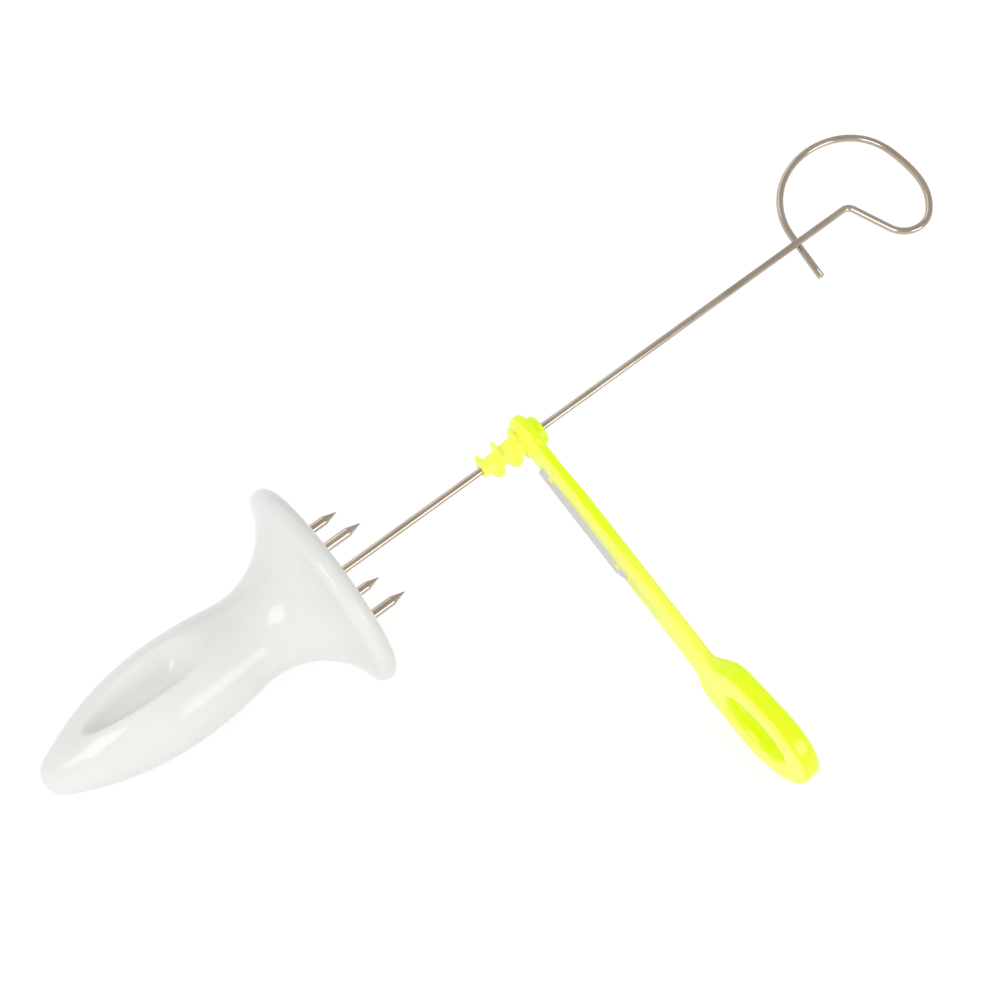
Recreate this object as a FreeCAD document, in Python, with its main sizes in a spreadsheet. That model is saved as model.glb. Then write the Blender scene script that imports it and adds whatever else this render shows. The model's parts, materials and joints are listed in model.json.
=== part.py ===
import FreeCAD, Part
import math
import os
import Sketcher
from FreeCAD import Placement, Rotation, Vector

# Tornado potato cutter, in millimetres.
#
# A gloss plastic holder carries four steel prongs on its flange. A steel wire skewer with a
# bent loop passes through the potato into the holder's socket. On the skewer runs the cutter:
# a moulded arm with a finger ring, a steel blade along the arm, and a feed screw at the hub
# that draws the cutter along as it is cranked, so that the potato comes off as one spiral.
#
# Holder and skewer are modelled in the tool's own frame: +X runs along the skewer from the
# holder's tail to the loop, the origin is the centre of the flange's front face, and the
# thumb scoop is near +Z. The cutter's pieces have a frame of their own: the same +X, the
# origin where the skewer meets the arm's face, the arm along -Y and the blade's edge to -Z.
# Last, the tool is laid down as it lies on a table: on the flange's rim, the holder's tail
# and the finger ring, with +Z up and the origin on the table under its middle. The skewer
# is turned in its socket by its roll, which puts its loop a little off level.

SIZES = {
    # Holder: a turned grip with a trumpet flange. Stations are measured back from the flange.
    "handle_length": 84.6,
    "nose_radius": 5.8,
    "belly_radius": 13.7,
    "belly_station": 47.2,
    "neck_radius": 11.8,
    "flare_radius": 20.7,
    "flange_radius": 29.1,
    "rim_radius": 3.0,
    "socket_depth": 45.0,
    # Thumb scoop: a spindle-shaped hollow in the belly.
    "scoop_station": 53.6,
    "scoop_depth": 4.2,
    "scoop_cross_radius": 6.2,
    "scoop_long_radius": 52.0,
    "scoop_roll": -4.6,
    "scoop_edge_radius": 1.2,
    # Prongs: pointed pins whose thicker roots are pressed into blind holes in the flange.
    "prong_count": 4,
    "prong_circle_radius": 15.0,
    "prong_radius": 1.25,
    "prong_root_radius": 1.5,
    "prong_reach": 12.0,
    "prong_point": 4.0,
    "prong_seat": 7.0,
    # Skewer: round wire, kinked into a loop that is centred on the skewer's own line.
    "wire_radius": 1.0,
    "skewer_point": 5.0,
    "kink_station": 179.4,
    "kink_radius": 2.6,
    "leg_lean": 17.1,
    "corner_radius": 7.3,
    "loop_radius": 20.8,
    "loop_lead": 2.6,
    "loop_sweep": 170.0,
    "tail_length": 15.0,
    "skewer_roll": 4.6,
    # Cutter frame: a flat arm with an eye at the skewer and a finger ring at its end.
    "cutter_station": 61.9,
    "arm_thickness": 3.1,
    "arm_root_width": 10.0,
    "arm_tip_width": 11.8,
    "eye_radius": 6.6,
    "ring_station": 97.4,
    "ring_radius": 14.6,
    "ring_thickness": 4.0,
    "ring_run_out": 11.0,
    "shoulder_station": 77.0,
    "shoulder_radius": 7.0,
    "shoulder_half_width": 12.8,
    "shoulder_fillet": 6.0,
    "finger_hole_station": 95.1,
    "finger_hole_length": 19.4,
    "finger_hole_width": 13.6,
    "finger_hole_edge": 1.8,
    "eye_fillet": 4.0,
    "frame_edge": 1.2,
    # Blade: a strip let into the arm's face, with its ground edge clear of the arm.
    "blade_start": 8.5,
    "blade_end": 45.0,
    "blade_thickness": 0.5,
    "blade_width": 6.0,
    "blade_lead": 7.3,
    "blade_bevel": 1.4,
    "blade_edge": 0.06,
    "blade_corner": 3.0,
    "plug_radius": 1.2,
    "plug_inset": 4.0,
    "plug_setback": 2.0,
    # Feed screw: a tapered left-hand thread whose square shank is riveted through the eye.
    "shank_flats": 5.2,
    "collar_radius": 4.3,
    "collar_height": 2.4,
    "collar_edge": 0.7,
    "thrust_radius": 5.0,
    "thrust_thickness": 1.0,
    "screw_length": 13.0,
    "screw_root_radius": 3.2,
    "screw_tip_radius": 2.0,
    "thread_pitch": 5.5,
    "thread_depth": 2.2,
    "thread_base": 2.4,
    "thread_crest": 0.6,
    "thread_bite": 0.4,
    # Clearances.
    "running_clearance": 0.06,
    "seat_clearance": 0.02,
    "crossing_gap": 0.25,
    "point_gap": 0.5,
}

START, END, CENTRE = range(1, 4)
X_AXIS, Y_AXIS = range(-1, -3, -1)
ROOT = (X_AXIS, START)

doc = FreeCAD.newDocument("tornado_potato_cutter")
sheet = doc.addObject("Spreadsheet::Sheet", "sizes")
for row, (alias, number) in enumerate(SIZES.items(), start=1):
    sheet.set(f"A{row}", alias.replace("_", " "))
    sheet.set(f"B{row}", str(number))
    sheet.setAlias(f"B{row}", alias)
doc.recompute()


def value(expression):
    """The number that an expression of the sheet's sizes gives."""
    return float(sheet.evalExpression(expression.replace("sizes.", "")))


# ------------------------------------------------------------ sketches and features


def new_body(label):
    body = doc.addObject("PartDesign::Body", label)
    body.Label = label
    return body


def origin_feature(body, role):
    return next(item for item in body.Origin.OriginFeatures if item.Role == role)


def new_sketch(body, name, plane, offset=None):
    sketch = body.newObject("Sketcher::SketchObject", name)
    sketch.AttachmentSupport = (origin_feature(body, plane), "")
    sketch.MapMode = "FlatFace"
    if offset:
        sketch.AttachmentOffset = offset
    return sketch


def add_line(sketch, start, end, construction=False):
    segment = Part.LineSegment(Vector(*start, 0), Vector(*end, 0))
    return sketch.addGeometry(segment, construction)


def add_arc(sketch, centre, radius, start_deg, end_deg):
    circle = Part.Circle(Vector(*centre, 0), Vector(0, 0, 1), radius)
    span = Part.ArcOfCircle(circle, math.radians(start_deg), math.radians(end_deg))
    return sketch.addGeometry(span, False)


def relate(sketch, kind, *places):
    sketch.addConstraint(Sketcher.Constraint(kind, *places))


def dimension(sketch, name, kind, places, expression):
    """A driving dimension that the sheet sets."""
    index = sketch.addConstraint(Sketcher.Constraint(kind, *places, value(expression)))
    sketch.renameConstraint(index, name)
    sketch.setExpression(f"Constraints.{name}", expression)


def place(sketch, name, point, across, up):
    """Dimensions one point of a sketch from the sketch's origin, unless it lies on an axis."""
    if across:
        dimension(sketch, f"{name}_x", "DistanceX", (*ROOT, *point), across)
    else:
        relate(sketch, "PointOnObject", *point, Y_AXIS)
    if up:
        dimension(sketch, f"{name}_y", "DistanceY", (*ROOT, *point), up)
    else:
        relate(sketch, "PointOnObject", *point, X_AXIS)


def polygon(sketch, corners):
    """A closed outline of straight sides. Each corner is (name, across, up) in expressions."""
    points = [(value(across or "0"), value(up or "0")) for _, across, up in corners]
    count = len(points)
    for index in range(count):
        add_line(sketch, points[index], points[(index + 1) % count])
    for index in range(count):
        relate(sketch, "Coincident", index, END, (index + 1) % count, START)
    for index, (name, across, up) in enumerate(corners):
        place(sketch, name, (index, START), across, up)


def add_circle(sketch, name, across, up, radius):
    centre = Vector(value(across or "0"), value(up or "0"), 0)
    index = sketch.addGeometry(Part.Circle(centre, Vector(0, 0, 1), value(radius)), False)
    dimension(sketch, f"{name}_radius", "Radius", (index,), radius)
    place(sketch, name, (index, CENTRE), across, up)


def square(sketch, half):
    polygon(
        sketch,
        [
            ("low_left", f"-({half})", f"-({half})"),
            ("low_right", half, f"-({half})"),
            ("high_right", half, half),
            ("high_left", f"-({half})", half),
        ],
    )


def feature(body, kind, name, profile, **settings):
    item = body.newObject(f"PartDesign::{kind}", name)
    item.Profile = profile
    for key, setting in settings.items():
        if isinstance(setting, str) and "sizes." in setting:
            item.setExpression(key, setting)
        else:
            setattr(item, key, setting)
    doc.recompute()
    return item


def dress(body, kind, name, base, edges, **settings):
    item = body.newObject(f"PartDesign::{kind}", name)
    item.Base = (base, edges)
    for key, setting in settings.items():
        if isinstance(setting, str) and "sizes." in setting:
            item.setExpression(key, setting)
        else:
            setattr(item, key, setting)
    doc.recompute()
    return item


def edges_where(shape, wanted):
    return [f"Edge{i}" for i, edge in enumerate(shape.Edges, start=1) if wanted(edge)]


def middle(edge):
    return edge.valueAt((edge.FirstParameter + edge.LastParameter) / 2)


def faces_across(face, point):
    """Whether a face looks across the X axis at a point of it, not along it."""
    normal = face.normalAt(*face.Surface.parameter(point))
    return abs(normal.x) < 0.5


def rim_edges(shape):
    """Name and middle of each edge where a wall meets a face that looks along X."""
    found = []
    for index, edge in enumerate(shape.Edges, start=1):
        point = middle(edge)
        sides = [faces_across(f, point) for f in shape.ancestorsOfType(edge, Part.Face)]
        if sorted(sides) == [False, True]:
            found.append((f"Edge{index}", point))
    return found


# ------------------------------------------------------------ holder


def arc_angle(centre, point):
    return math.degrees(math.atan2(point[1] - centre[1], point[0] - centre[0]))


def holder_arcs():
    """Centres and radii of the tangent arcs that make the holder's profile."""
    rim_radius = value("rim_radius")
    flare_radius = value("flare_radius")
    belly = (-value("belly_station"), value("belly_radius"))
    rim = (-rim_radius, value("flange_radius - rim_radius"))
    flare_height = value("neck_radius + flare_radius")
    flare_run = math.sqrt((flare_radius + rim_radius) ** 2 - (flare_height - rim[1]) ** 2)
    flare = (rim[0] - flare_run, flare_height)
    run, rise = flare[0] - belly[0], flare[1] - belly[1]
    waist_radius = (run**2 + rise**2 - flare_radius**2) / (2 * (flare_radius - rise))
    nose_radius = value("nose_radius")
    nose = (value("nose_radius - handle_length"), 0.0)
    back_run = belly[0] - nose[0]
    back_radius = (back_run**2 + belly[1] ** 2 - nose_radius**2) / (2 * (belly[1] - nose_radius))
    waist = (belly[0], belly[1] - waist_radius)
    back = (belly[0], belly[1] - back_radius)
    return {
        "rim": (rim, rim_radius),
        "flare": (flare, flare_radius),
        "waist": (waist, waist_radius),
        "back": (back, back_radius),
        "nose": (nose, nose_radius),
    }


def draw_holder_profile(sketch):
    arcs = holder_arcs()
    (rim, rim_radius), (flare, flare_radius) = arcs["rim"], arcs["flare"]
    (waist, waist_radius), (back, back_radius) = arcs["waist"], arcs["back"]
    nose, nose_radius = arcs["nose"]
    axis = add_line(sketch, (-value("handle_length"), 0), (0, 0))
    face = add_line(sketch, (0, 0), (0, rim[1]))
    rim_arc = add_arc(sketch, rim, rim_radius, 0, arc_angle(rim, flare))
    flare_start, flare_end = arc_angle(flare, waist) + 360, arc_angle(flare, rim) + 360
    flare_arc = add_arc(sketch, flare, flare_radius, flare_start, flare_end)
    waist_arc = add_arc(sketch, waist, waist_radius, arc_angle(waist, flare), 90)
    back_arc = add_arc(sketch, back, back_radius, 90, arc_angle(back, nose))
    nose_arc = add_arc(sketch, nose, nose_radius, arc_angle(back, nose), 180)
    relate(sketch, "Coincident", axis, END, *ROOT)
    relate(sketch, "PointOnObject", axis, START, X_AXIS)
    relate(sketch, "Coincident", face, START, *ROOT)
    relate(sketch, "Vertical", face)
    relate(sketch, "Tangent", face, END, rim_arc, START)
    relate(sketch, "Tangent", rim_arc, END, flare_arc, END)
    relate(sketch, "Tangent", flare_arc, START, waist_arc, START)
    relate(sketch, "Tangent", waist_arc, END, back_arc, START)
    relate(sketch, "Tangent", back_arc, END, nose_arc, START)
    relate(sketch, "Coincident", nose_arc, END, axis, START)
    relate(sketch, "PointOnObject", nose_arc, CENTRE, X_AXIS)
    relate(sketch, "Vertical", back_arc, CENTRE, back_arc, START)
    dimension(sketch, "rim_round", "Radius", (rim_arc,), "sizes.rim_radius")
    dimension(sketch, "flare_round", "Radius", (flare_arc,), "sizes.flare_radius")
    dimension(sketch, "nose_round", "Radius", (nose_arc,), "sizes.nose_radius")
    dimension(sketch, "length", "DistanceX", (axis, START, *ROOT), "sizes.handle_length")
    rim_height = "sizes.flange_radius - sizes.rim_radius"
    dimension(sketch, "rim_height", "DistanceY", (*ROOT, rim_arc, CENTRE), rim_height)
    flare_height = "sizes.neck_radius + sizes.flare_radius"
    dimension(sketch, "flare_height", "DistanceY", (*ROOT, flare_arc, CENTRE), flare_height)
    place(sketch, "belly", (back_arc, START), "-sizes.belly_station", "sizes.belly_radius")


def draw_scoop_profile(sketch):
    """Half a spindle: its outer arc, closed by the chord that it turns about."""
    chord_height = value("belly_radius - scoop_depth + scoop_cross_radius")
    radius = value("scoop_long_radius")
    centre = (-value("scoop_station"), chord_height + value("scoop_cross_radius") - radius)
    half_chord = math.sqrt(radius**2 - (centre[1] - chord_height) ** 2)
    left = (centre[0] - half_chord, chord_height)
    right = (centre[0] + half_chord, chord_height)
    arc = add_arc(sketch, centre, radius, arc_angle(centre, right), arc_angle(centre, left))
    chord = add_line(sketch, left, right)
    turning_axis = add_line(sketch, left, right, construction=True)
    relate(sketch, "Coincident", arc, END, chord, START)
    relate(sketch, "Coincident", chord, END, arc, START)
    relate(sketch, "Coincident", turning_axis, START, chord, START)
    relate(sketch, "Coincident", turning_axis, END, chord, END)
    relate(sketch, "Horizontal", chord)
    dimension(sketch, "long_radius", "Radius", (arc,), "sizes.scoop_long_radius")
    chord_height = "sizes.belly_radius - sizes.scoop_depth + sizes.scoop_cross_radius"
    centre_height = f"{chord_height} + sizes.scoop_cross_radius - sizes.scoop_long_radius"
    place(sketch, "scoop", (arc, CENTRE), "-sizes.scoop_station", centre_height)
    dimension(sketch, "chord_height", "DistanceY", (*ROOT, chord, START), chord_height)


def make_holder_handle():
    body = new_body("holder_handle")
    x_axis = (origin_feature(body, "X_Axis"), [""])
    profile = new_sketch(body, "handle_profile", "XY_Plane")
    draw_holder_profile(profile)
    feature(body, "Revolution", "turned_grip", profile, ReferenceAxis=x_axis, Angle=360)
    roll = Placement(Vector(), Rotation(Vector(1, 0, 0), -value("scoop_roll")))
    scoop = new_sketch(body, "scoop_profile", "XZ_Plane", roll)
    draw_scoop_profile(scoop)
    groove = feature(
        body, "Groove", "thumb_scoop", scoop, ReferenceAxis=(scoop, ["Axis0"]), Angle=360
    )
    bottom = Vector(-value("scoop_station"), 0, value("belly_radius - scoop_depth"))
    bottom = Part.Vertex(roll.Rotation.multVec(bottom))
    hollow = min(groove.Shape.Faces, key=lambda face: face.distToShape(bottom)[0])
    mouth = edges_where(groove.Shape, lambda e: any(e.isSame(side) for side in hollow.Edges))
    dress(body, "Fillet", "scoop_edge", groove, mouth, Radius="sizes.scoop_edge_radius")
    socket = new_sketch(body, "socket_mouth", "YZ_Plane")
    add_circle(socket, "socket", "", "", "sizes.wire_radius + sizes.running_clearance")
    feature(body, "Pocket", "skewer_socket", socket, Length="sizes.socket_depth")
    seat = new_sketch(body, "prong_hole", "YZ_Plane")
    seat_radius = "sizes.prong_root_radius + sizes.seat_clearance"
    add_circle(seat, "seat", "", "sizes.prong_circle_radius", seat_radius)
    hole = feature(body, "Pocket", "prong_seat", seat, Length="sizes.prong_seat")
    ring_of(body, "prong_seats", hole, x_axis)
    return body


def ring_of(body, name, original, axis):
    """Copies of a feature, evenly spaced round the tool's axis, one for each prong."""
    pattern = body.newObject("PartDesign::PolarPattern", name)
    pattern.Originals = [original]
    pattern.Axis = axis
    pattern.Angle = 360
    pattern.setExpression("Occurrences", "sizes.prong_count")
    body.Tip = pattern
    doc.recompute()


def make_holder_prongs():
    body = new_body("holder_prongs")
    profile = new_sketch(body, "prong_profile", "XZ_Plane")
    centre = "sizes.prong_circle_radius"
    root = "sizes.prong_circle_radius + sizes.prong_root_radius"
    side = "sizes.prong_circle_radius + sizes.prong_radius"
    shoulder = "sizes.prong_reach - sizes.prong_point"
    polygon(
        profile,
        [
            ("foot", "-sizes.prong_seat", centre),
            ("foot_side", "-sizes.prong_seat", root),
            ("root", "", root),
            ("side", "", side),
            ("shoulder", shoulder, side),
            ("point", "sizes.prong_reach", centre),
        ],
    )
    pin_axis = ((value("-prong_seat"), value(centre)), (value("prong_reach"), value(centre)))
    line = add_line(profile, *pin_axis, construction=True)
    relate(profile, "Coincident", line, START, 0, START)
    relate(profile, "Coincident", line, END, 5, START)
    pin = feature(
        body, "Revolution", "prong", profile, ReferenceAxis=(profile, ["Axis0"]), Angle=360
    )
    ring_of(body, "prongs", pin, (origin_feature(body, "X_Axis"), [""]))
    return body


# ------------------------------------------------------------ skewer


# From the kink's corner point, how far its bend reaches along the rod and along the leg.
KINK_RUN = "sizes.kink_radius * tan((90 - sizes.leg_lean) * 0.5 deg)"


def draw_rod_line(sketch):
    """The straight rod and the kink's bend, up to where the leg starts."""
    turn = 90 - value("leg_lean")
    bend = value("kink_radius")
    start = (value("point_gap - socket_depth"), 0)
    end = (value("kink_station") - bend * math.tan(math.radians(turn / 2)), 0)
    rod = add_line(sketch, start, end)
    kink = add_arc(sketch, (end[0], -bend), bend, 90 - turn, 90)
    relate(sketch, "PointOnObject", rod, END, X_AXIS)
    relate(sketch, "Tangent", rod, END, kink, END)
    place(sketch, "tip", (rod, START), "sizes.point_gap - sizes.socket_depth", "")
    dimension(sketch, "kink_round", "Radius", (kink,), "sizes.kink_radius")
    rod_end = f"sizes.kink_station - {KINK_RUN}"
    dimension(sketch, "rod_end", "DistanceX", (*ROOT, rod, END), rod_end)
    leg_start = f"sizes.kink_station + {KINK_RUN} * sin(sizes.leg_lean * 1 deg)"
    dimension(sketch, "leg_start", "DistanceX", (*ROOT, kink, START), leg_start)


def draw_loop_line(sketch):
    """The leg, the corner that turns it back, the loop round its centre, and the tail."""
    lean = math.radians(value("leg_lean"))
    lead = value("loop_lead")
    centre = (lead * math.sin(lean), lead * math.cos(lean))
    radius, corner = value("loop_radius"), value("corner_radius")
    leg = centre[0] + math.sqrt((radius - corner) ** 2 - (corner - centre[1]) ** 2)
    leg_start = value(KINK_RUN)
    joint_deg = arc_angle(centre, (leg, corner))
    sweep_deg = value("loop_sweep - leg_lean") + 90
    depart = math.radians(sweep_deg)
    tail_start = (centre[0] + radius * math.cos(depart), centre[1] + radius * math.sin(depart))
    tail = value("tail_length")
    tail_end = (tail_start[0] - tail * math.sin(depart), tail_start[1] + tail * math.cos(depart))
    leg_line = add_line(sketch, (leg_start, 0), (leg, 0))
    corner_arc = add_arc(sketch, (leg, corner), corner, 270, 360 + joint_deg)
    loop_arc = add_arc(sketch, centre, radius, joint_deg, sweep_deg)
    tail_line = add_line(sketch, tail_start, tail_end)
    relate(sketch, "PointOnObject", leg_line, END, X_AXIS)
    relate(sketch, "Tangent", leg_line, END, corner_arc, START)
    relate(sketch, "Tangent", corner_arc, END, loop_arc, START)
    relate(sketch, "Tangent", loop_arc, END, tail_line, START)
    place(sketch, "leg_start", (leg_line, START), KINK_RUN, "")
    dimension(sketch, "corner_round", "Radius", (corner_arc,), "sizes.corner_radius")
    dimension(sketch, "loop_round", "Radius", (loop_arc,), "sizes.loop_radius")
    centre_x = "sizes.loop_lead * sin(sizes.leg_lean * 1 deg)"
    centre_y = "sizes.loop_lead * cos(sizes.leg_lean * 1 deg)"
    place(sketch, "loop", (loop_arc, CENTRE), centre_x, centre_y)
    dimension(sketch, "tail", "Distance", (tail_line,), "sizes.tail_length")
    heading = "(sizes.loop_sweep - sizes.leg_lean + 90) * 1 deg"
    tail_x = f"{centre_x} + sizes.loop_radius * cos({heading})"
    dimension(sketch, "tail_x", "DistanceX", (*ROOT, tail_line, START), tail_x)


def make_skewer():
    body = new_body("skewer")
    rod_line = new_sketch(body, "rod_line", "XY_Plane")
    draw_rod_line(rod_line)
    rod_end = Placement(Vector(0, 0, value("point_gap - socket_depth")), Rotation())
    rod_section = new_sketch(body, "rod_section", "YZ_Plane", rod_end)
    add_circle(rod_section, "wire", "", "", "sizes.wire_radius")
    feature(body, "AdditivePipe", "rod", rod_section, Spine=rod_line)

    # The loop's own frame has its origin at the kink, its x along the leg and its y away from
    # the holder. It is tilted about the leg, so that the tail passes under the rod.
    crossing = value("(loop_radius - loop_lead) * cos(leg_lean * 1 deg)")
    drop = math.degrees(math.asin(value("2 * wire_radius + crossing_gap") / crossing))
    heading = Rotation(Vector(0, 0, 1), value("leg_lean - 90"))
    tilted = heading * Rotation(Vector(1, 0, 0), drop)
    loop_plane = Placement(Vector(value("kink_station"), 0, 0), tilted)
    loop_line = new_sketch(body, "loop_line", "XY_Plane", loop_plane)
    draw_loop_line(loop_line)
    leg_start = Vector(value(KINK_RUN), 0, 0)
    across_leg = Placement(leg_start, Rotation(Vector(0, 1, 0), 90))
    loop_section = new_sketch(body, "loop_section", "XY_Plane", loop_plane * across_leg)
    add_circle(loop_section, "wire", "", "", "sizes.wire_radius")
    loop = feature(body, "AdditivePipe", "loop", loop_section, Spine=loop_line)

    tip_station = rod_end.Base.z
    tip = edges_where(loop.Shape, lambda e: abs(middle(e).x - tip_station) < 0.01)
    dress(
        body,
        "Chamfer",
        "point",
        loop,
        tip,
        ChamferType="Two distances",
        Size="sizes.skewer_point",
        Size2="sizes.wire_radius * 0.9",
    )
    return body


# ------------------------------------------------------------ cutter frame


def draw_ring_outline(sketch):
    """The finger ring's outline: a round end, two sides that close in and square shoulders."""
    end_centre = (-value("ring_station"), 0.0)
    end_radius, corner = value("ring_radius"), value("shoulder_radius")
    corner_centre = (
        -value("shoulder_station + shoulder_radius"),
        value("shoulder_half_width - shoulder_radius"),
    )
    run, rise = corner_centre[0] - end_centre[0], corner_centre[1]
    spread = math.acos((end_radius - corner) / math.hypot(run, rise))
    side_deg = math.degrees(math.atan2(rise, run) + spread)
    lean = math.radians(side_deg)
    unit = (math.cos(lean), math.sin(lean))
    high_end = (end_centre[0] + end_radius * unit[0], end_radius * unit[1])
    high_corner = (corner_centre[0] + corner * unit[0], corner_centre[1] + corner * unit[1])
    low_corner_centre = (corner_centre[0], -corner_centre[1])
    base = -value("shoulder_station")
    end_arc = add_arc(sketch, end_centre, end_radius, side_deg, 360 - side_deg)
    low_side = add_line(sketch, (high_end[0], -high_end[1]), (high_corner[0], -high_corner[1]))
    low_arc = add_arc(sketch, low_corner_centre, corner, 360 - side_deg, 360)
    base_line = add_line(sketch, (base, -corner_centre[1]), (base, corner_centre[1]))
    high_arc = add_arc(sketch, corner_centre, corner, 0, side_deg)
    high_side = add_line(sketch, high_corner, high_end)
    relate(sketch, "Tangent", end_arc, END, low_side, START)
    relate(sketch, "Tangent", low_side, END, low_arc, START)
    relate(sketch, "Tangent", low_arc, END, base_line, START)
    relate(sketch, "Tangent", base_line, END, high_arc, START)
    relate(sketch, "Tangent", high_arc, END, high_side, START)
    relate(sketch, "Tangent", high_side, END, end_arc, START)
    dimension(sketch, "end_round", "Radius", (end_arc,), "sizes.ring_radius")
    place(sketch, "end", (end_arc, CENTRE), "-sizes.ring_station", "")
    dimension(sketch, "corner_round", "Radius", (high_arc,), "sizes.shoulder_radius")
    dimension(sketch, "low_round", "Radius", (low_arc,), "sizes.shoulder_radius")
    station = "-sizes.shoulder_station - sizes.shoulder_radius"
    rise_from_axis = "sizes.shoulder_half_width - sizes.shoulder_radius"
    place(sketch, "high", (high_arc, CENTRE), station, rise_from_axis)
    dimension(sketch, "low", "DistanceY", (low_arc, CENTRE, *ROOT), rise_from_axis)


def draw_finger_hole(sketch):
    half_length, half_width = value("finger_hole_length / 2"), value("finger_hole_width / 2")
    centre = Vector(-value("finger_hole_station"), 0, 0)
    ellipse = Part.Ellipse(
        centre + Vector(half_length, 0, 0), centre + Vector(0, half_width, 0), centre
    )
    oval = sketch.addGeometry(ellipse, False)
    sketch.exposeInternalGeometry(oval)
    major, minor = oval + 1, oval + 2
    place(sketch, "hole", (oval, CENTRE), "-sizes.finger_hole_station", "")
    relate(sketch, "Horizontal", major)
    dimension(sketch, "hole_length", "Distance", (major,), "sizes.finger_hole_length")
    dimension(sketch, "hole_width", "Distance", (minor,), "sizes.finger_hole_width")


def make_cutter_frame():
    body = new_body("cutter_frame")
    eye = new_sketch(body, "eye_outline", "YZ_Plane")
    add_circle(eye, "eye", "", "", "sizes.eye_radius")
    feature(body, "Pad", "eye", eye, Length="sizes.ring_thickness")
    arm = new_sketch(body, "arm_outline", "YZ_Plane")
    arm_end = "-sizes.shoulder_station - sizes.shoulder_radius"
    polygon(
        arm,
        [
            ("root_low", "", "-sizes.arm_root_width / 2"),
            ("root_high", "", "sizes.arm_root_width / 2"),
            ("tip_high", arm_end, "sizes.arm_tip_width / 2"),
            ("tip_low", arm_end, "-sizes.arm_tip_width / 2"),
        ],
    )
    feature(body, "Pad", "arm", arm, Length="sizes.ring_thickness")
    ring = new_sketch(body, "ring_outline", "YZ_Plane")
    draw_ring_outline(ring)
    ring_pad = feature(body, "Pad", "finger_ring", ring, Length="sizes.ring_thickness")
    shoulder_y = -value("shoulder_station")
    shoulders = edges_where(
        ring_pad.Shape,
        lambda e: abs(middle(e).y - shoulder_y) < 0.01
        and abs(middle(e).z) < value("arm_tip_width * 0.6")
        and abs(e.tangentAt(e.FirstParameter).x) > 0.99,
    )
    filled = dress(
        body, "Fillet", "shoulders", ring_pad, shoulders, Radius="sizes.shoulder_fillet"
    )
    neck = edges_where(
        filled.Shape,
        lambda e: abs(e.tangentAt(e.FirstParameter).x) > 0.99
        and -value("eye_radius") < middle(e).y < 0
        and abs(middle(e).z) > value("arm_root_width * 0.4"),
    )
    dress(body, "Fillet", "eye_necks", filled, neck, Radius="sizes.eye_fillet")
    relief = new_sketch(body, "arm_relief", "XY_Plane")
    ring_start = "-sizes.shoulder_station + sizes.ring_run_out"
    polygon(
        relief,
        [
            ("eye_low", "sizes.arm_thickness", "2 * sizes.eye_radius"),
            ("run_out", "sizes.arm_thickness", ring_start),
            ("flush", "sizes.ring_thickness", "-sizes.shoulder_station"),
            ("outside", "2 * sizes.ring_thickness", "-sizes.shoulder_station"),
            ("eye_high", "2 * sizes.ring_thickness", "2 * sizes.eye_radius"),
        ],
    )
    feature(body, "Pocket", "arm_thinning", relief, Type="ThroughAll", Midplane=True)
    hole = new_sketch(body, "finger_hole_outline", "YZ_Plane")
    draw_finger_hole(hole)
    holed = feature(body, "Pocket", "finger_hole", hole, Type="ThroughAll", Reversed=True)
    station = value("finger_hole_station")
    reach = value("finger_hole_length / 2") + 0.01
    rims = rim_edges(holed.Shape)
    inside = [name for name, point in rims if math.hypot(point.y + station, point.z) < reach]
    round_hole = dress(body, "Fillet", "hole_edge", holed, inside, Radius="sizes.finger_hole_edge")
    rims = rim_edges(round_hole.Shape)
    reach += 2 * value("finger_hole_edge")
    outside = [name for name, point in rims if math.hypot(point.y + station, point.z) > reach]
    dress(body, "Fillet", "outer_edge", round_hole, outside, Radius="sizes.frame_edge")
    shank = new_sketch(body, "shank_hole", "YZ_Plane")
    square(shank, "sizes.shank_flats / 2 + sizes.seat_clearance")
    feature(body, "Pocket", "shank_hole_cut", shank, Type="ThroughAll", Reversed=True)
    rebate = new_sketch(body, "blade_rebate", "YZ_Plane")
    back = "sizes.blade_width - sizes.blade_lead + sizes.seat_clearance"
    inner = "-sizes.blade_start + sizes.seat_clearance"
    outer = "-sizes.blade_end - sizes.seat_clearance"
    polygon(
        rebate,
        [
            ("inner_open", inner, "-2 * sizes.blade_lead"),
            ("inner_back", inner, back),
            ("outer_back", outer, back),
            ("outer_open", outer, "-2 * sizes.blade_lead"),
        ],
    )
    for name, station in PLUGS.items():
        add_circle(rebate, name, station, PLUG_HEIGHT, "sizes.plug_radius")
    feature(body, "Pocket", "blade_seat", rebate, Length="sizes.blade_thickness", Reversed=True)
    return body


# The two moulded plugs that hold the blade: their stations along the arm and their height.
PLUGS = {
    "inner_plug": "-sizes.blade_start - sizes.plug_inset",
    "outer_plug": "-sizes.blade_end + sizes.plug_inset",
}
PLUG_HEIGHT = "sizes.blade_width - sizes.blade_lead - sizes.plug_setback"


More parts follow.
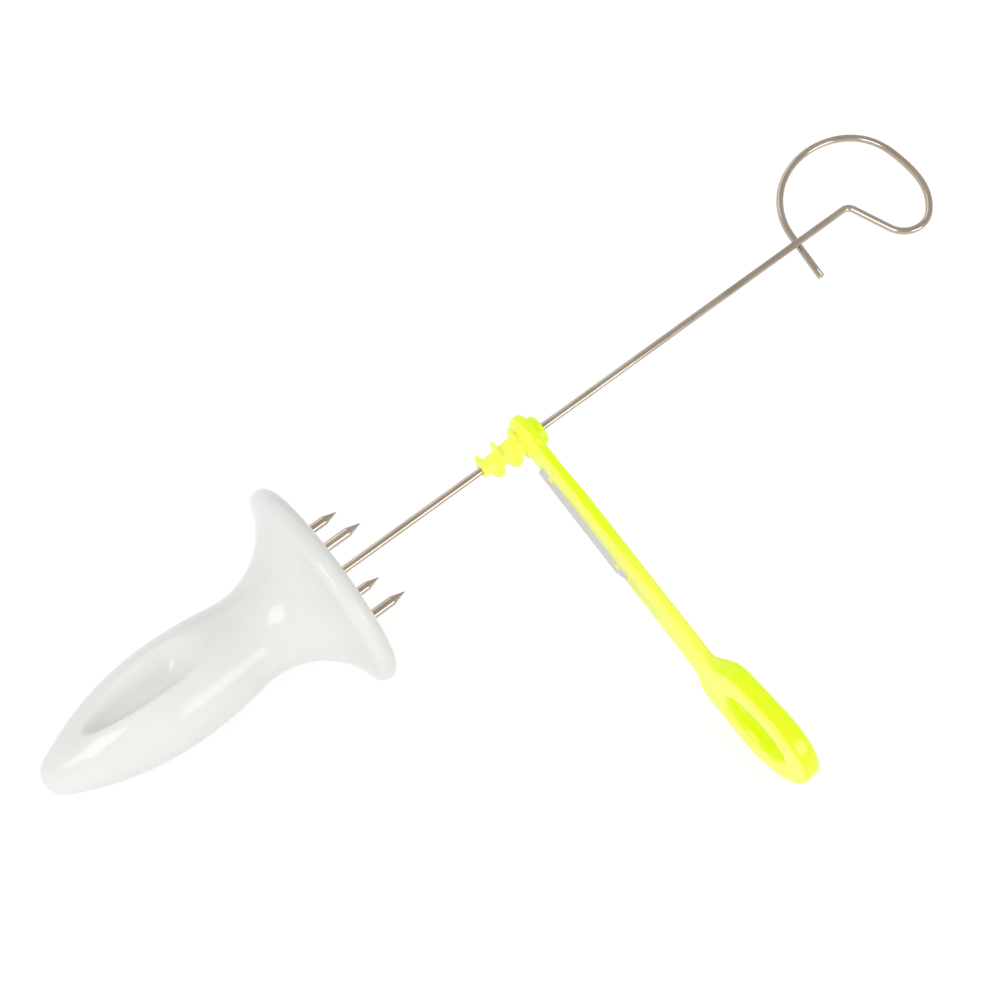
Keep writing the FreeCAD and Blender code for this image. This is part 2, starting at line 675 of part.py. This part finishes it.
def make_cutter_blade():
    body = new_body("cutter_blade")
    section = new_sketch(body, "blade_section", "XZ_Plane")
    edge, back = "-sizes.blade_lead", "sizes.blade_width - sizes.blade_lead"
    polygon(
        section,
        [
            ("edge", "", edge),
            ("edge_top", "sizes.blade_edge", edge),
            ("bevel_top", "sizes.blade_thickness", f"{edge} + sizes.blade_bevel"),
            ("back_top", "sizes.blade_thickness", back),
            ("back", "", back),
        ],
    )
    section.AttachmentOffset = Placement(Vector(0, 0, value("blade_start")), Rotation())
    length = "sizes.blade_end - sizes.blade_start"
    feature(body, "Pad", "strip", section, Length=length)
    corner = new_sketch(body, "end_corner", "YZ_Plane")
    polygon(
        corner,
        [
            ("outer", "-sizes.blade_end", f"{edge} + sizes.blade_corner"),
            ("inner", "-sizes.blade_end + sizes.blade_corner", edge),
            ("clear", "-sizes.blade_end", edge),
        ],
    )
    feature(body, "Pocket", "end_taper", corner, Type="ThroughAll", Reversed=True)
    holes = new_sketch(body, "plug_holes", "YZ_Plane")
    for name, station in PLUGS.items():
        add_circle(holes, name, station, PLUG_HEIGHT, "sizes.plug_radius + sizes.seat_clearance")
    feature(body, "Pocket", "plug_holes_cut", holes, Type="ThroughAll", Reversed=True)
    return body


# ------------------------------------------------------------ feed screw


def make_feed_screw():
    body = new_body("feed_screw")
    x_axis = (origin_feature(body, "X_Axis"), [""])
    core = new_sketch(body, "core_profile", "XY_Plane")
    tip = "-sizes.thrust_thickness - sizes.screw_length"
    polygon(
        core,
        [
            ("tip_centre", tip, ""),
            ("tip", tip, "sizes.screw_tip_radius"),
            ("root", "-sizes.thrust_thickness", "sizes.screw_root_radius"),
            ("thrust", "-sizes.thrust_thickness", "sizes.thrust_radius"),
            ("seat", "", "sizes.thrust_radius"),
            ("centre", "", ""),
        ],
    )
    feature(body, "Revolution", "core", core, ReferenceAxis=x_axis, Angle=360)
    shank = new_sketch(body, "shank_section", "YZ_Plane")
    square(shank, "sizes.shank_flats / 2")
    feature(body, "Pad", "shank", shank, Length="sizes.arm_thickness")
    collar_base = Placement(Vector(0, 0, value("arm_thickness")), Rotation())
    collar = new_sketch(body, "collar_section", "YZ_Plane", collar_base)
    add_circle(collar, "collar", "", "", "sizes.collar_radius")
    head = feature(body, "Pad", "collar", collar, Length="sizes.collar_height")
    top = value("arm_thickness + collar_height")
    rim = edges_where(head.Shape, lambda e: abs(middle(e).x - top) < 0.01)
    dress(body, "Fillet", "collar_round", head, rim, Radius="sizes.collar_edge")
    thread = new_sketch(body, "thread_profile", "XY_Plane")
    start = f"{tip} + sizes.thread_base / 2"
    foot = "sizes.screw_tip_radius - sizes.thread_bite"
    crest = "sizes.screw_tip_radius + sizes.thread_depth"
    polygon(
        thread,
        [
            ("foot_back", f"{start} - sizes.thread_base / 2", foot),
            ("foot_front", f"{start} + sizes.thread_base / 2", foot),
            ("crest_front", f"{start} + sizes.thread_crest / 2", crest),
            ("crest_back", f"{start} - sizes.thread_crest / 2", crest),
        ],
    )
    taper = "(sizes.screw_root_radius - sizes.screw_tip_radius) / sizes.screw_length"
    feature(
        body,
        "AdditiveHelix",
        "thread",
        thread,
        ReferenceAxis=x_axis,
        Mode=0,
        Pitch="sizes.thread_pitch",
        Height="sizes.screw_length - sizes.thread_base",
        Angle=f"atan({taper})",
        LeftHanded=True,
    )
    bore = new_sketch(body, "bore_section", "YZ_Plane")
    add_circle(bore, "bore", "", "", "sizes.wire_radius + sizes.running_clearance")
    feature(body, "Pocket", "bore", bore, Type="ThroughAll", Midplane=True)
    return body


# ------------------------------------------------------------ assembly


def lying_tilt():
    """The rise of the skewer when the holder lies on its rim and on the back of its belly."""
    arcs = holder_arcs()
    (rim, rim_radius), (back, back_radius) = arcs["rim"], arcs["back"]
    rise, run = rim[1] - back[1], rim[0] - back[0]
    return math.acos((back_radius - rim_radius) / math.hypot(rise, run)) - math.atan2(run, rise)


def arm_droop(tilt, face_height):
    """How far the arm turns down from level before its ring touches the table."""
    edge = value("frame_edge")
    along = value("cutter_station") + edge
    height = (face_height + along * math.sin(tilt) - edge) / math.cos(tilt)
    return math.asin((height - value("ring_radius") + edge) / value("ring_station"))


holder = [make_holder_handle(), make_holder_prongs()]
skewer = make_skewer()
cutter = [make_cutter_frame(), make_cutter_blade(), make_feed_screw()]
bodies = [*holder, skewer, *cutter]
doc.recompute()

tilt = lying_tilt()
rim_radius = value("rim_radius")
rim_height = value("flange_radius - rim_radius") * math.cos(tilt)
face_height = rim_height + rim_radius * math.sin(tilt) + rim_radius
droop = arm_droop(tilt, face_height)
laid = Placement(Vector(0, 0, face_height), Rotation(Vector(0, 1, 0), -math.degrees(tilt)))
turned = Rotation(Vector(1, 0, 0), math.degrees(droop))
hung = laid * Placement(Vector(value("cutter_station"), 0, 0), turned)
for body in holder:
    body.Placement = laid
skewer.Placement = laid * Placement(Vector(), Rotation(Vector(1, 0, 0), value("skewer_roll")))
for body in cutter:
    body.Placement = hung
doc.recompute()

box = FreeCAD.BoundBox()
for body in bodies:
    box.add(body.Shape.optimalBoundingBox(False))
shift = Placement(Vector(-box.Center.x, -box.Center.y, -box.ZMin), Rotation())
for body in bodies:
    body.Placement = shift * body.Placement
doc.recompute()

for item in doc.Objects:
    if "Invalid" in item.State or "Error" in item.State:
        raise RuntimeError(f"{item.Label} failed: {item.State}")
os.makedirs("parts", exist_ok=True)
for body in bodies:
    if body.Shape.isNull() or not body.Shape.isValid():
        raise RuntimeError(f"{body.Label} has no valid shape")
    body.Shape.exportStep(f"parts/{body.Label}.step")
    print(body.Label, len(body.Shape.Solids), round(body.Shape.Volume, 2))
print("tilt", math.degrees(tilt), "droop", math.degrees(droop), "shift", shift.Base)
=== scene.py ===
import bpy
import json
import math
from mathutils import Euler, Matrix, Vector


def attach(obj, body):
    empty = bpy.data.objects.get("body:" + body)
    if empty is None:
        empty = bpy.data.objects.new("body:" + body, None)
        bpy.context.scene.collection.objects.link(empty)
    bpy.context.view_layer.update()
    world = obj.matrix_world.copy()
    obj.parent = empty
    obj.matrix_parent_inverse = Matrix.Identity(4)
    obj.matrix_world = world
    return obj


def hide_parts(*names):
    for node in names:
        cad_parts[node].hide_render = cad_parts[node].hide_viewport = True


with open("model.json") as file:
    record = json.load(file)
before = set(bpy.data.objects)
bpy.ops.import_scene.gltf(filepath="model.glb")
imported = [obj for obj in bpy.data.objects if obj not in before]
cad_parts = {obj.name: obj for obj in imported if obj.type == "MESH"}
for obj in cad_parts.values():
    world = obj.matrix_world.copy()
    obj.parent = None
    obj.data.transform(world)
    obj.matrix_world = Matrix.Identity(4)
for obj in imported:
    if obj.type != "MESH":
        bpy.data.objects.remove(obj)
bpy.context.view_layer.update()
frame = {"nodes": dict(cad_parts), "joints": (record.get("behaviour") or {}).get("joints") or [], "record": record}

# ------------------------------------------------------------ holder
# The grip is one injection moulding in gloss white plastic, with a scoop for the thumb and
# a socket for the skewer. Its surface has the faint orange peel of a polished mould, and a
# witness line where the mould's halves met.

mounts = {mount["name"]: mount for mount in frame["record"]["mounts"]}
FLANGE_CENTRE = Vector(mounts["prongs"]["pos_m"])
TOOL_AXIS = Vector(mounts["prongs"]["axis"]).normalized()
TOOL_UP = Vector((-TOOL_AXIS.z, 0.0, TOOL_AXIS.x))
TILT = math.atan2(TOOL_AXIS.z, TOOL_AXIS.x)
GRIP_LENGTH = 0.0846
NOSE_ROUND = 0.0058
BELLY_STATION, BELLY_RADIUS = 0.0472, 0.0137
NECK_RADIUS = 0.0118
FLARE_ROUND = 0.0207
FLANGE_RADIUS = 0.0291
RIM_ROUND = 0.003
SOCKET_DEPTH, SOCKET_RADIUS, SOCKET_MOUTH = 0.045, 0.00106, 0.0014
PROFILE_STEP = 0.0004
FACE_RINGS = 8
TURN_STEPS = 256
MERGE_REACH = 0.000005
SMOOTH_ANGLE = math.radians(40.0)
SCOOP_STATION, SCOOP_HEAD, SCOOP_TAIL = 0.0458, 0.0095, 0.0252
SCOOP_SIDE, SCOOP_WIDTH, SCOOP_DEPTH = 0.0008, 0.0061, 0.0051
TAIL_POINT, FLOOR_ROUND = 1.2, 0.8
NEAR_WALL, TAIL_WALL = 0.3, 0.7
NEAR_SOFT, FAR_SOFT = 0.0008, 0.0014
GRIP_WHITE = (0.805, 0.81, 0.782, 1.0)
GRIP_SHADE = (0.775, 0.78, 0.754, 1.0)
WITNESS_WIDTH = 0.0001
WITNESS_LIFT = 0.25


class Level:
    """One value in a shader. Arithmetic on it adds the Math nodes that work it out."""

    def __init__(self, finish, socket):
        self.finish = finish
        self.socket = socket

    def math(self, operation, *values):
        return self.finish.node("ShaderNodeMath", {"operation": operation}, values)

    def __add__(self, other):
        return self.math("ADD", self, other)

    def __sub__(self, other):
        return self.math("SUBTRACT", self, other)

    def __rsub__(self, other):
        return self.math("SUBTRACT", other, self)

    def __mul__(self, other):
        return self.math("MULTIPLY", self, other)

    def __lt__(self, other):
        return self.math("LESS_THAN", self, other)

    def __abs__(self):
        return self.math("ABSOLUTE", self)

    __radd__ = __add__
    __rmul__ = __mul__


class Finish:
    """A Principled material. Numbers that are the same all over go straight to its sockets."""

    def __init__(self, name, **steady):
        self.material = bpy.data.materials.new(name)
        self.material.use_nodes = True
        self.nodes = self.material.node_tree.nodes
        self.shader = self.nodes["Principled BSDF"]
        for socket, value in steady.items():
            self.shader.inputs[socket.replace("_", " ")].default_value = value

    def node(self, kind, settings, values, output=0):
        """Adds a node. Values are its sockets' numbers or levels, by order or by name."""
        node = self.nodes.new(kind)
        for key, setting in settings.items():
            setattr(node, key, setting)
        named = values.items() if isinstance(values, dict) else enumerate(values)
        for socket, value in named:
            self.feed(node.inputs[socket], value)
        return Level(self, node.outputs[output])

    def feed(self, socket, value):
        if isinstance(value, Level):
            self.material.node_tree.links.new(value.socket, socket)
        else:
            socket.default_value = value

    def place(self, origin, turn=(0.0, 0.0, 0.0), scale=(1.0, 1.0, 1.0)):
        """Positions on the piece, measured from an origin and along a turned frame."""
        where = self.node("ShaderNodeTexCoord", {}, {}, "Object")
        values = {"Vector": where, "Location": origin, "Rotation": turn, "Scale": scale}
        return self.node("ShaderNodeMapping", {"vector_type": "TEXTURE"}, values)

    def part(self, vector, axis):
        return self.node("ShaderNodeSeparateXYZ", {}, [vector], axis)

    def noise(self, vector, scale, detail=2.0, roughness=0.5):
        values = {"Vector": vector, "Scale": scale, "Detail": detail, "Roughness": roughness}
        return self.node("ShaderNodeTexNoise", {}, values, "Fac")

    def ramp(self, level, low, high, start=0.0, end=1.0):
        """A level mapped from low..high to start..end, and held outside."""
        values = [level, low, high, start, end]
        return self.node("ShaderNodeMapRange", {"clamp": True}, values)

    def mix(self, level, first, second):
        """A colour between two colours."""
        values = {0: level, 6: first, 7: second}
        return self.node("ShaderNodeMix", {"data_type": "RGBA"}, values, 2)

    def bump(self, height, strength, distance):
        values = {"Strength": strength, "Distance": distance, "Height": height}
        return self.node("ShaderNodeBump", {}, values)

    def set(self, socket, level):
        self.feed(self.shader.inputs[socket], level)

    def wear(self, piece):
        """Gives the finish to a piece."""
        piece.data.materials.clear()
        piece.data.materials.append(self.material)


def arc(centre, radius, first, last):
    """Points on an arc of the grip's profile, between two angles."""
    count = max(2, round(abs(last - first) * radius / PROFILE_STEP))
    angles = [first + (last - first) * i / count for i in range(count)]
    return [centre + Vector((math.cos(a), math.sin(a))) * radius for a in angles]


def bearing(centre, point):
    return math.atan2(point.y - centre.y, point.x - centre.x)


def grip_profile():
    """Tangent arcs from the tail's tip to the rim, then the face and the skewer's socket."""
    nose = Vector((NOSE_ROUND - GRIP_LENGTH, 0.0))
    rim = Vector((-RIM_ROUND, FLANGE_RADIUS - RIM_ROUND))
    flare_height = NECK_RADIUS + FLARE_ROUND
    flare_run = math.sqrt((FLARE_ROUND + RIM_ROUND) ** 2 - (flare_height - rim.y) ** 2)
    flare = Vector((rim.x - flare_run, flare_height))
    run, rise = flare.x + BELLY_STATION, flare.y - BELLY_RADIUS
    waist_round = (run**2 + rise**2 - FLARE_ROUND**2) / (2 * (FLARE_ROUND - rise))
    waist = Vector((-BELLY_STATION, BELLY_RADIUS - waist_round))
    back_run, drop = -BELLY_STATION - nose.x, 2 * (BELLY_RADIUS - NOSE_ROUND)
    back_round = (back_run**2 + BELLY_RADIUS**2 - NOSE_ROUND**2) / drop
    back = Vector((-BELLY_STATION, BELLY_RADIUS - back_round))
    join = bearing(back, nose)
    points = arc(nose, NOSE_ROUND, math.pi, join)
    points += arc(back, back_round, join, math.pi / 2)
    points += arc(waist, waist_round, math.pi / 2, bearing(waist, flare))
    turn = math.tau
    points += arc(flare, FLARE_ROUND, bearing(flare, waist) + turn, bearing(flare, rim) + turn)
    points += arc(rim, RIM_ROUND, bearing(rim, flare), 0.0)
    step = (rim.y - SOCKET_MOUTH) / FACE_RINGS
    points += [Vector((0.0, rim.y - step * i)) for i in range(FACE_RINGS + 1)]
    points.append(Vector((SOCKET_RADIUS - SOCKET_MOUTH, SOCKET_RADIUS)))
    points.append(Vector((-SOCKET_DEPTH, SOCKET_RADIUS)))
    points.append(Vector((-SOCKET_DEPTH, 0.0)))
    return points


def hollow(station, across):
    """How deep the thumb scoop is at a place on the belly: teardrop in plan, deepest by its
    near wall and towards the tail."""
    reach = (station - SCOOP_STATION) / (SCOOP_TAIL if station > SCOOP_STATION else SCOOP_HEAD)
    side = (across - SCOOP_SIDE) / SCOOP_WIDTH
    plan = 1.0 - reach**2
    if reach > 0.0:
        plan = math.copysign(abs(plan) ** TAIL_POINT, plan)
    inside = plan - side**2
    depth = SCOOP_DEPTH * inside
    if inside > 0.0:
        depth *= (1.0 + FLOOR_ROUND) / (inside + FLOOR_ROUND)
        depth *= (1.0 - NEAR_WALL * side) * (1.0 + TAIL_WALL * reach)
    blend = min(1.0, max(0.0, (side + 1.0) / 2.0))
    soft = NEAR_SOFT + (FAR_SOFT - NEAR_SOFT) * blend
    return (depth + math.hypot(depth, soft)) / 2.0


profile = grip_profile()
mesh = bpy.data.meshes.new("grip")
places = [FLANGE_CENTRE + TOOL_AXIS * point.x + TOOL_UP * point.y for point in profile]
mesh.from_pydata(places, [(i, i + 1) for i in range(len(places) - 1)], [])
grip = bpy.data.objects.new("grip", mesh)
bpy.context.collection.objects.link(grip)
bpy.ops.object.select_all(action="DESELECT")
grip.select_set(True)
bpy.context.view_layer.objects.active = grip
bpy.ops.object.mode_set(mode="EDIT")
bpy.ops.mesh.select_all(action="SELECT")
bpy.ops.mesh.spin(steps=TURN_STEPS, angle=math.tau, center=FLANGE_CENTRE, axis=TOOL_AXIS)
bpy.ops.mesh.select_all(action="SELECT")
bpy.ops.mesh.remove_doubles(threshold=MERGE_REACH)
bpy.ops.mesh.normals_make_consistent(inside=False)
bpy.ops.object.mode_set(mode="OBJECT")
for vertex in grip.data.vertices:
    place = vertex.co - FLANGE_CENTRE
    station, height = -place.dot(TOOL_AXIS), place.dot(TOOL_UP)
    radius = math.hypot(place.y, height)
    if height > 0.0 and radius > NOSE_ROUND and station > RIM_ROUND:
        depth = hollow(station, radius * math.atan2(place.y, height))
        vertex.co -= (TOOL_UP * height + Vector((0.0, place.y, 0.0))) * (depth / radius)
bpy.ops.object.shade_smooth_by_angle(angle=SMOOTH_ANGLE)
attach(grip, "holder")
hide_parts("holder_handle")

white = Finish("white_gloss_plastic", Specular_IOR_Level=0.32)
along = white.place(FLANGE_CENTRE, (0.0, -TILT, 0.0))
cloud = white.noise(along, 45.0)
white.set("Base Color", white.mix(white.ramp(cloud, 0.35, 0.65), GRIP_SHADE, GRIP_WHITE))
haze = white.ramp(white.noise(along, 160.0, 4.0), 0.3, 0.7, 0.09, 0.13)
white.set("Roughness", haze)
witness = abs(white.part(along, "Z")) < WITNESS_WIDTH
peel = white.noise(along, 700.0, 1.0) + witness * WITNESS_LIFT
white.set("Normal", white.bump(peel, 0.05, 0.0002))
white.wear(grip)

# ------------------------------------------------------------ prongs and skewer
# Both are drawn stainless wire: the prongs are pointed pins pressed into the flange, and the
# skewer is one length bent into its loop by hand tools. Drawing leaves fine lines along it.

LOOP_CENTRE = Vector(mounts["skewer_loop"]["pos_m"])
DENT_DEPTH, DENT_SPREAD = 0.0022, math.radians(32.0)
JOIN_REACH = 0.000001
CREASE_ANGLE = math.radians(30.0)
STEEL = (0.58, 0.5, 0.42, 1.0)
STEEL_DARK = (0.43, 0.35, 0.275, 1.0)


def merged_copy(node, name):
    """A copy of a solid's mesh with its loose triangles joined, selected and active."""
    piece = bpy.data.objects.new(name, frame["nodes"][node].data.copy())
    bpy.context.collection.objects.link(piece)
    bpy.ops.object.select_all(action="DESELECT")
    piece.select_set(True)
    bpy.context.view_layer.objects.active = piece
    bpy.ops.object.mode_set(mode="EDIT")
    bpy.ops.mesh.select_all(action="SELECT")
    bpy.ops.mesh.remove_doubles(threshold=JOIN_REACH)
    bpy.ops.object.mode_set(mode="OBJECT")
    return piece


wire = merged_copy("skewer", "wire")
for vertex in wire.data.vertices:
    place = vertex.co - LOOP_CENTRE
    ahead, across = place.dot(TOOL_AXIS), place.y
    dent = DENT_DEPTH * math.exp(-((math.atan2(across, ahead) / DENT_SPREAD) ** 2))
    outwards = TOOL_AXIS * ahead + Vector((0.0, across, 0.0))
    vertex.co -= outwards.normalized() * dent
bpy.ops.object.shade_smooth_by_angle(angle=CREASE_ANGLE)
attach(wire, "skewer")
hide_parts("skewer")

steel = Finish("drawn_stainless_wire", Metallic=1.0)
along = steel.place(FLANGE_CENTRE, (0.0, -TILT, 0.0), (12.0, 1.0, 1.0))
lines = steel.noise(along, 2500.0, 3.0)
stain = steel.noise(steel.place(FLANGE_CENTRE), 90.0, 3.0)
steel.set("Base Color", steel.mix(steel.ramp(stain, 0.3, 0.75), STEEL, STEEL_DARK))
steel.set("Roughness", steel.ramp(lines, 0.3, 0.7, 0.08, 0.17))
steel.set("Normal", steel.bump(lines, 0.04, 0.0001))
steel.wear(frame["nodes"]["holder_prongs"])
steel.wear(wire)

# ------------------------------------------------------------ cutter frame and feed screw
# The arm with its finger ring and the screw in its hub are moulded in one fluorescent
# yellow-green plastic. The ring is thicker than the arm and leans towards the loop. Its colour
# carries painted light: the broad face and the run of the arm are painted paler, as if lit, the
# walls and the hole keep the saturated colour, and the plastic has a painted glow, stronger on
# its walls and inside the hole.

joints = {joint["name"]: joint for joint in frame["joints"]}
HUB = Vector(joints["cutter_spin"]["pos_m"])
# The first colour is the plastic painted paler, as if lit, for the broad face; the second is its saturated colour
# on the walls and in the hole.
NEON_PAINTED_LIT_FACE = (0.86, 0.88, 0.12, 1.0)
NEON_EDGE = (0.68, 0.85, 0.002, 1.0)
# Painted glow for the face and for the walls and hole; the plastic is no lamp.
NEON_PAINTED_GLOW = (0.12, 0.15, 0.0, 1.0)
EDGE_PAINTED_GLOW = (0.15, 0.21, 0.0, 1.0)
SKIN = 0.0003
# Where the run of the arm is painted paler, as a painted highlight, and how strongly.
PAINTED_LIT_START, PAINTED_LIT_END, PAINTED_LIT_SHARE = 0.03, 0.055, 0.75
FACE_ROUGHNESS, EDGE_POLISH = 0.34, 0.21
EYE_END, ARM_START = 0.012, 0.02
SLOPE_START, RUN_START, SLOPE_END, RING_START = 0.066, 0.0744, 0.077, 0.0778
SOLID_ARM, SOLID_RING = 0.0031, 0.004
ARM_THICK, RING_THICK = 0.0035, 0.0058
RING_LEAN = math.tan(math.radians(3.1))
HOLE_CENTRE, RING_END, END_STRETCH = 0.095, 0.112, 0.002

ring_place = Vector(mounts["finger_ring"]["pos_m"]) - HUB
ARM_WAY = (ring_place - TOOL_AXIS * ring_place.dot(TOOL_AXIS)).normalized()
ARM_TURN = Matrix((TOOL_AXIS, ARM_WAY, TOOL_AXIS.cross(ARM_WAY))).transposed().to_euler()
arm = merged_copy("cutter_frame", "finger_arm")
bpy.ops.object.mode_set(mode="EDIT")
cuts = (EYE_END, ARM_START, SLOPE_START, RUN_START, SLOPE_END, RING_START, HOLE_CENTRE)
for station in cuts:
    bpy.ops.mesh.select_all(action="SELECT")
    bpy.ops.mesh.bisect(plane_co=HUB + ARM_WAY * station, plane_no=ARM_WAY)
bpy.ops.object.mode_set(mode="OBJECT")


def share(value, low, high):
    """How far a value is from low to high, held between 0 and 1."""
    return min(1.0, max(0.0, (value - low) / (high - low)))


for vertex in arm.data.vertices:
    place = vertex.co - HUB
    station, depth = place.dot(ARM_WAY), place.dot(TOOL_AXIS)
    solid = SOLID_ARM + share(station, SLOPE_START, SLOPE_END) * (SOLID_RING - SOLID_ARM)
    thick = SOLID_ARM + share(station, EYE_END, ARM_START) * (ARM_THICK - SOLID_ARM)
    thick += share(station, RUN_START, RING_START) * (RING_THICK - ARM_THICK)
    lean = max(0.0, station - RING_START) * RING_LEAN
    vertex.co += TOOL_AXIS * (depth * (thick / solid - 1.0) + lean)
    vertex.co += ARM_WAY * share(station, HOLE_CENTRE, RING_END) * END_STRETCH
bpy.ops.object.shade_smooth_by_angle(angle=CREASE_ANGLE)
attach(arm, "cutter")
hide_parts("cutter_frame")

neon = Finish("fluorescent_plastic_painted_glow", Specular_IOR_Level=0.5, Emission_Strength=1.0)
spot = neon.place(HUB, ARM_TURN)
station = neon.part(spot, "Y")
lean = neon.ramp(station, RING_START, 2.0 * RING_START, 0.0, RING_START * RING_LEAN)
# Painted highlight: the run of the arm, short of the ring, is painted paler as if lit.
painted_lit_arm = neon.ramp(station, PAINTED_LIT_START, PAINTED_LIT_END) - neon.ramp(station, RUN_START, RING_START)
# Mask of the walls and hole; the broad face, outside it, is painted paler as if lit.
wall_not_painted_lit = neon.ramp(neon.part(spot, "X") - lean, SKIN, 2.0 * SKIN) * (1.0 - painted_lit_arm * PAINTED_LIT_SHARE)
neon.set("Base Color", neon.mix(wall_not_painted_lit, NEON_PAINTED_LIT_FACE, NEON_EDGE))
# Painted glow in the emission, stronger on the walls and inside the hole.
neon.set("Emission Color", neon.mix(wall_not_painted_lit, NEON_PAINTED_GLOW, EDGE_PAINTED_GLOW))
grain = neon.ramp(neon.noise(spot, 400.0, 3.0), 0.3, 0.7, 0.0, 0.06)
neon.set("Roughness", FACE_ROUGHNESS - wall_not_painted_lit * EDGE_POLISH + grain)
neon.set("Normal", neon.bump(neon.noise(spot, 350.0, 1.0), 0.012, 0.0002))
neon.wear(arm)
neon.wear(frame["nodes"]["feed_screw"])

# ------------------------------------------------------------ blade
# A strip of spring stainless, satin from rolling, with its leading edge ground to a bevel.

SATIN = (0.57, 0.56, 0.54, 1.0)

satin = Finish("satin_blade_steel", Base_Color=SATIN, Metallic=1.0)
grain = satin.noise(satin.place(HUB, ARM_TURN, (1.0, 40.0, 1.0)), 3000.0, 3.0)
satin.set("Roughness", satin.ramp(grain, 0.3, 0.7, 0.12, 0.26))
satin.set("Normal", satin.bump(grain, 0.04, 0.0001))
satin.wear(frame["nodes"]["cutter_blade"])

# ------------------------------------------------------------ table, light and camera
# A white table under two soft boxes, with a fill from the far side and a pale room round
# them, and the camera above the tail.

TABLE_SIZE, TABLE_TOP = 60.0, -0.0005
LAMP_AIM = Vector((0.0, 0.0, 0.03))
HORIZON, ZENITH = 0.8, 0.62
CAMERA_PLACE = Vector((-0.19588, -0.13709, 0.3378))
CAMERA_TURN = (39.181, -7.808, -38.531)
CAMERA_LENS = 53.946
SEEN_BY = ("Camera", "Glossy", "Transmission")

bpy.ops.mesh.primitive_plane_add(size=TABLE_SIZE, location=(0.0, 0.0, TABLE_TOP))
table = bpy.context.object
table.name = "table"
paper = Finish("table_white", Roughness=0.9, Specular_IOR_Level=0.0, Emission_Strength=1.0)
rays = [paper.node("ShaderNodeLightPath", {}, {}, f"Is {kind} Ray") for kind in SEEN_BY]
seen = rays[0] + rays[1] + rays[2]
paper.set("Base Color", paper.mix(seen, (0.85, 0.85, 0.85, 1.0), (0.3, 0.3, 0.3, 1.0)))
paper.set("Emission Color", paper.mix(seen, (0.0, 0.0, 0.0, 1.0), (0.78, 0.78, 0.78, 1.0)))
table.data.materials.append(paper.material)


def soft_light(name, azimuth, height, distance, size, radiance):
    """A soft box. Its direction is seen from the object, in degrees."""
    light = bpy.data.lights.new(name, "AREA")
    light.shape = "RECTANGLE"
    light.size, light.size_y = size
    light.energy = radiance * math.pi * size[0] * size[1]
    lamp = bpy.data.objects.new(name, light)
    bpy.context.collection.objects.link(lamp)
    tilt, turn = math.radians(height), math.radians(azimuth)
    towards = Vector((math.cos(turn), math.sin(turn), 0.0)) * math.cos(tilt)
    towards.z = math.sin(tilt)
    lamp.location = LAMP_AIM + towards * distance
    lamp.rotation_euler = towards.to_track_quat("Z", "Y").to_euler()


soft_light("right_box", -86.0, 19.0, 1.2, (0.68, 0.5), 3.1)
soft_light("left_box", -165.0, 29.0, 1.2, (0.58, 0.46), 4.5)
soft_light("far_fill", 100.0, 35.0, 1.4, (1.2, 0.8), 0.8)


class Room(Finish):
    """The studio's walls and ceiling, as a world shader."""

    def __init__(self, world):
        world.use_nodes = True
        self.material = world
        self.nodes = world.node_tree.nodes
        self.shader = self.nodes["Background"]
        self.shader.inputs["Color"].default_value = (1.0, 1.0, 1.0, 1.0)


studio = bpy.data.worlds.new("studio")
bpy.context.scene.world = studio
room = Room(studio)
height = room.part(room.node("ShaderNodeTexCoord", {}, {}, "Generated"), "Z")
room.set("Strength", room.ramp(height, 0.0, 0.9, HORIZON, ZENITH))

camera_data = bpy.data.cameras.new("camera")
camera_data.lens = CAMERA_LENS
camera_data.sensor_width = 36.0
camera_data.clip_start = 0.01
camera = bpy.data.objects.new("camera", camera_data)
bpy.context.collection.objects.link(camera)
camera.location = CAMERA_PLACE
camera.rotation_euler = Euler([math.radians(angle) for angle in CAMERA_TURN])
scene = bpy.context.scene
scene.camera = camera
scene.view_settings.view_transform = "Standard"
